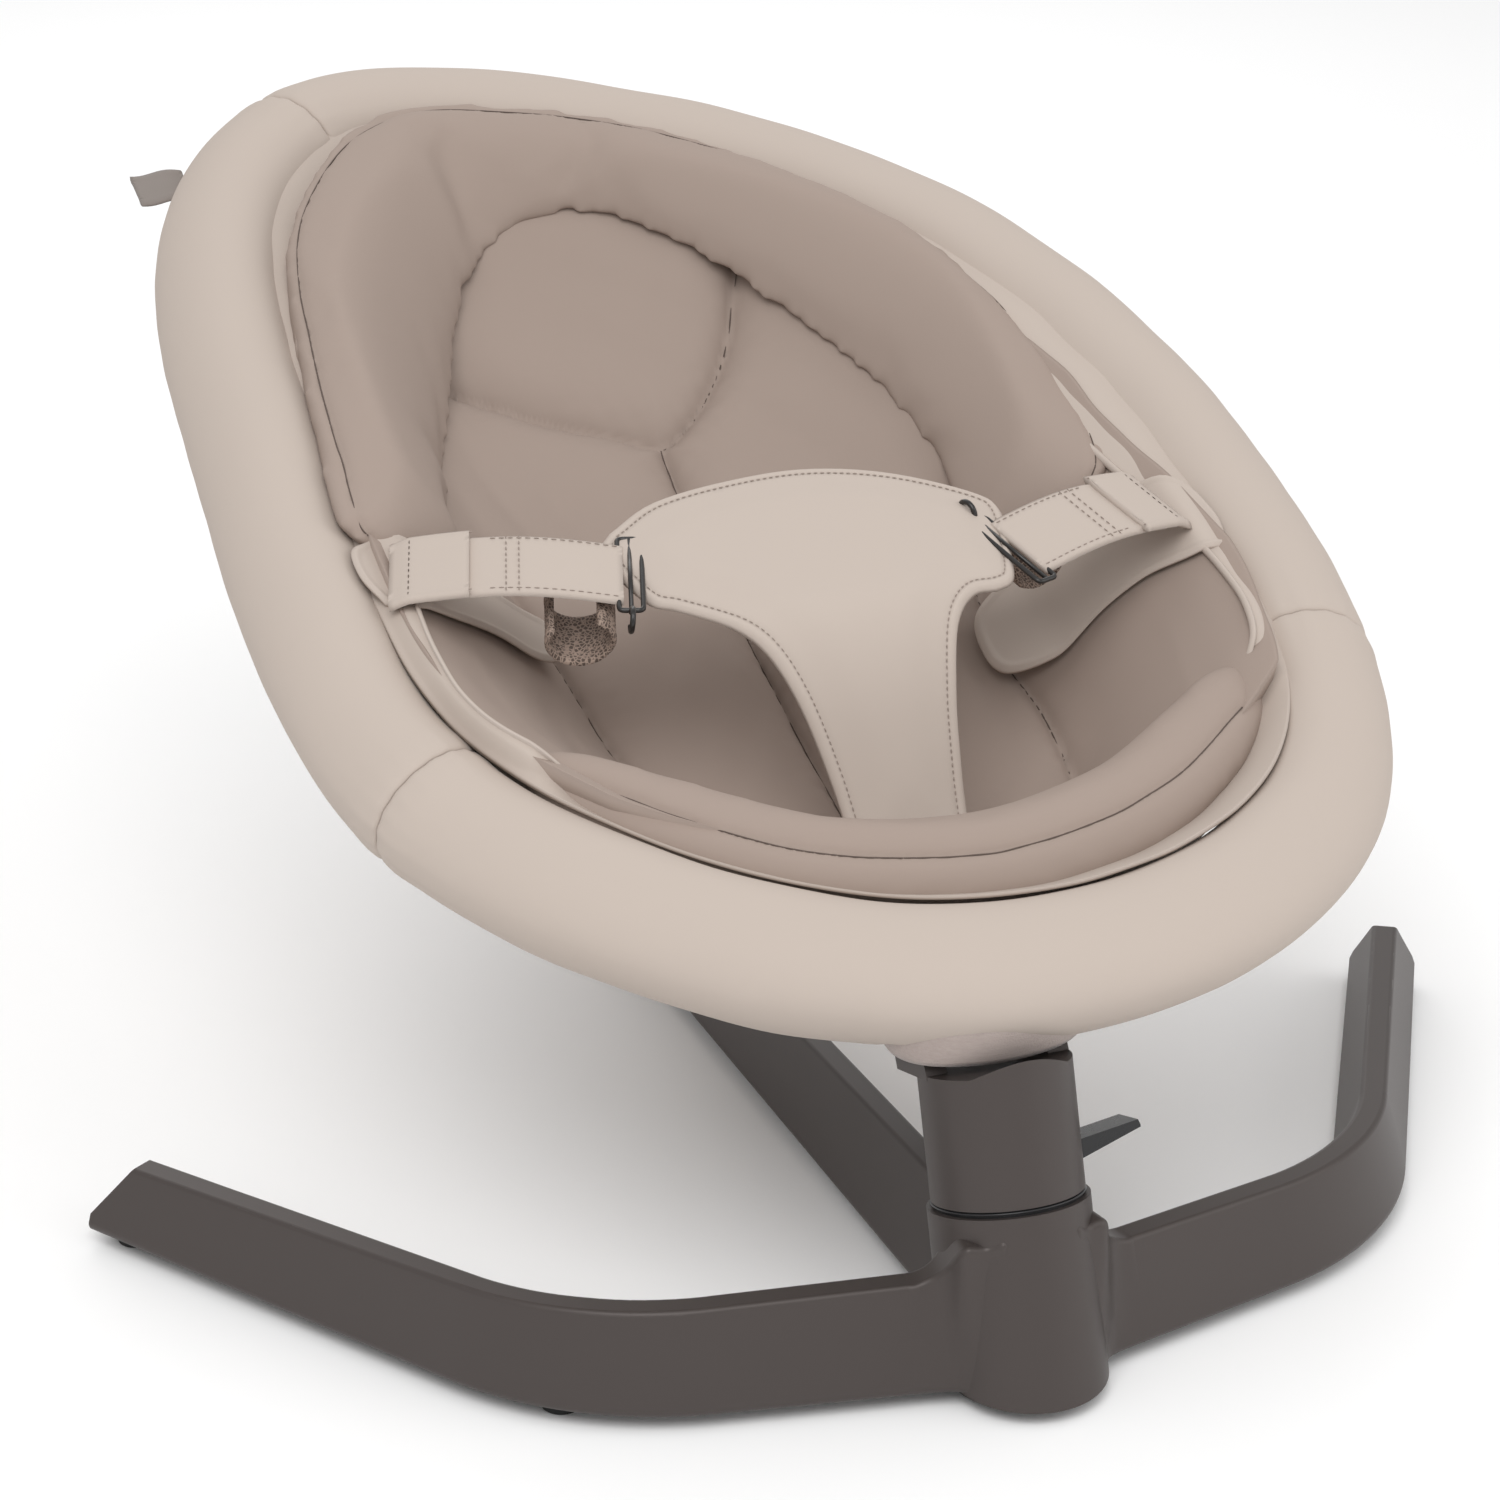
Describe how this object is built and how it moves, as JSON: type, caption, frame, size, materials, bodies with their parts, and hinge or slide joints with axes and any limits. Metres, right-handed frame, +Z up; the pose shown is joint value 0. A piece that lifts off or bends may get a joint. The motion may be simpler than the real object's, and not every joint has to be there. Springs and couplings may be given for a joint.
{
  "type": "bouncer seat",
  "caption": "Baby bouncer: a padded leaf-shaped seat with a waist harness, swaying on a leaning post over a three-legged cast base.",
  "frame": {"origin": "on the floor under the hub's foot, where the post's sway axis meets the floor", "axes": "+Z up, +Y from the foot end to the head end of the seat, +X to the seat's right seen from the foot end"},
  "size_m": [0.707, 0.7329, 0.4424],
  "materials": {
    "base_paint": "satin dark brown-grey metallic paint",
    "foot_rubber": "matt black rubber",
    "black_plastic": "black acetal, lightly polished",
    "bearing_steel": "ground steel",
    "frame_aluminium": "mill-finish aluminium",
    "melange_knit": "pale greige knit with fine lighter and darker threads",
    "brushed_jersey": "taupe brushed jersey",
    "sling_fabric": "close woven lining",
    "buckle_metal": "black lacquered steel",
    "label_ribbon": "plain grey ribbon"
  },
  "bodies": {
    "base": {"hub_casting": "base_paint", "left_leg": "base_paint", "right_leg": "base_paint", "rear_leg": "base_paint", "leg_feet": "foot_rubber", "hub_foot": "foot_rubber", "lock_ring": "bearing_steel", "gap_ring": "black_plastic", "upper_bearing_outer": "bearing_steel", "upper_bearing_balls": "bearing_steel", "lower_bearing_outer": "bearing_steel", "lower_bearing_balls": "bearing_steel"},
    "post": {"post_sleeve": "base_paint", "pivot_shaft": "bearing_steel", "shaft_circlip": "bearing_steel", "shaft_nut": "bearing_steel", "upper_bearing_inner": "bearing_steel", "lower_bearing_inner": "bearing_steel", "lever_pin": "bearing_steel", "lever_bracket": "bearing_steel", "mount_head": "base_paint", "recline_pin": "bearing_steel", "friction_discs": "black_plastic", "button_spring": "bearing_steel"},
    "lever": {"lock_lever": "black_plastic"},
    "bolt": {"lock_bolt": "bearing_steel"},
    "button": {"recline_button": "black_plastic"},
    "seat": {"crotch_pad": "melange_knit", "frame_joiner_left": "frame_aluminium", "frame_joiner_right": "frame_aluminium", "frame_tube_front": "frame_aluminium", "frame_tube_rear": "frame_aluminium", "front_roll": "brushed_jersey", "head_bolster": "brushed_jersey", "headrest_panel": "brushed_jersey", "hoop_clamp_left": "frame_aluminium", "hoop_clamp_right": "frame_aluminium", "insert_back": "brushed_jersey", "insert_seat": "brushed_jersey", "label_tab": "label_ribbon", "lower_hoop": "frame_aluminium", "recline_knuckle": "frame_aluminium", "rim_cover_front": "melange_knit", "rim_cover_left": "melange_knit", "rim_cover_right": "melange_knit", "seat_sling": "sling_fabric", "slider_left": "buckle_metal", "slider_right": "buckle_metal", "strap_anchor_left": "melange_knit", "strap_anchor_right": "melange_knit", "strap_hook_left": "buckle_metal", "strap_hook_right": "buckle_metal", "waist_strap_left": "melange_knit", "waist_strap_right": "melange_knit"}
  },
  "joints": [
    {"name": "seat_sway", "type": "hinge", "parent": "base", "child": "post", "pos_m": [0, 0.021, 0.081], "axis": [0, 0.2924, 0.9563], "range_deg": [-20, 20]},
    {"name": "seat_recline", "type": "hinge", "parent": "post", "child": "seat", "pos_m": [0, 0.062, 0.15], "axis": [1, 0, 0], "range_deg": [0, 16]},
    {"name": "lever_tilt", "type": "hinge", "parent": "post", "child": "lever", "pos_m": [0.02377, 0.02814, 0.09293], "axis": [-0.1392, 0.947, -0.2895], "range_deg": [0, 14]},
    {"name": "bolt_slide", "type": "slide", "parent": "post", "child": "bolt", "axis": [0, -0.2924, -0.9563], "range_m": [0, 0.006]},
    {"name": "button_press", "type": "slide", "parent": "post", "child": "button", "axis": [-1, 0, 0], "range_m": [0, 0.0035], "stiffness_N_per_m": 600}
  ],
  "couplings": [
    {"joint": "bolt_slide", "follows": "lever_tilt", "m_per_rad": 0.024531}
  ]
}
